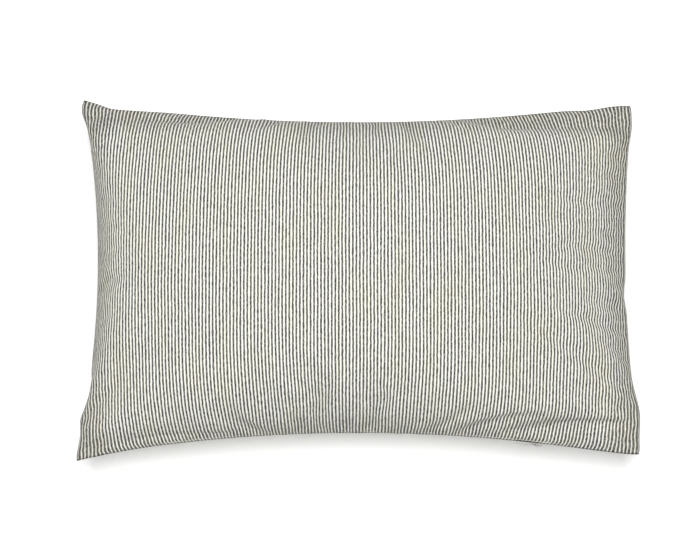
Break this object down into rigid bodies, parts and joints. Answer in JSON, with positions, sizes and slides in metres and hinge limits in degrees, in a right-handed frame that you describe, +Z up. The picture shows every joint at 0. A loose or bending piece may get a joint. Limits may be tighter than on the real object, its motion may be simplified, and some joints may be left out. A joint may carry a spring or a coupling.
{
  "type": "throw pillow",
  "caption": "Oblong knife-edge throw pillow: a striped woven cover with a concealed zip in one long seam, over a separate fibre-filled insert.",
  "frame": {"origin": "middle of the patch that the back panel rests on", "axes": "+X along the long side, +Y along the short side away from the zipped seam, +Z up through the thickness, front panel uppermost"},
  "size_m": [0.586, 0.386, 0.156],
  "materials": {
    "cover_linen": "matte",
    "sewing_thread": "matte",
    "label_tape": "satin",
    "zip_tape": "matte",
    "zip_coil": "satin",
    "zip_metal": "satin",
    "insert_cotton": "matte",
    "filling_fibre": "matte"
  },
  "bodies": {
    "pillow": {"cover_front_panel": "cover_linen", "cover_back_panel": "cover_linen", "cover_seam_stitching": "sewing_thread", "care_label": "label_tape", "zip_tape_front": "zip_tape", "zip_tape_back": "zip_tape", "zip_tape_stitching_front": "sewing_thread", "zip_tape_stitching_back": "sewing_thread", "zip_coil_front": "zip_coil", "zip_coil_back": "zip_coil", "zip_top_stop_front": "zip_metal", "zip_top_stop_back": "zip_metal", "zip_bottom_stop": "zip_metal", "zip_bar_tack_left": "sewing_thread", "zip_bar_tack_right": "sewing_thread", "insert_front_panel": "insert_cotton", "insert_back_panel": "insert_cotton", "insert_edge_overlock": "sewing_thread", "insert_closing_stitches": "sewing_thread", "insert_label": "label_tape", "fibre_filling": "filling_fibre"},
    "slider": {"zip_slider": "zip_metal"},
    "pull_tab": {"zip_pull_tab": "zip_metal"}
  },
  "joints": [
    {"name": "zip_travel", "type": "hinge", "parent": "pillow", "child": "slider", "pos_m": [0, -1.74014, 0.072], "axis": [0, 0, 1], "range_deg": [0, 13.7], "deforming": ["zip_coil_front", "zip_coil_back"]},
    {"name": "pull_tab_swing", "type": "hinge", "parent": "slider", "child": "pull_tab", "pos_m": [0.18734, -0.1785, 0.072], "axis": [0, 0, 1], "range_deg": [0, 180]}
  ]
}
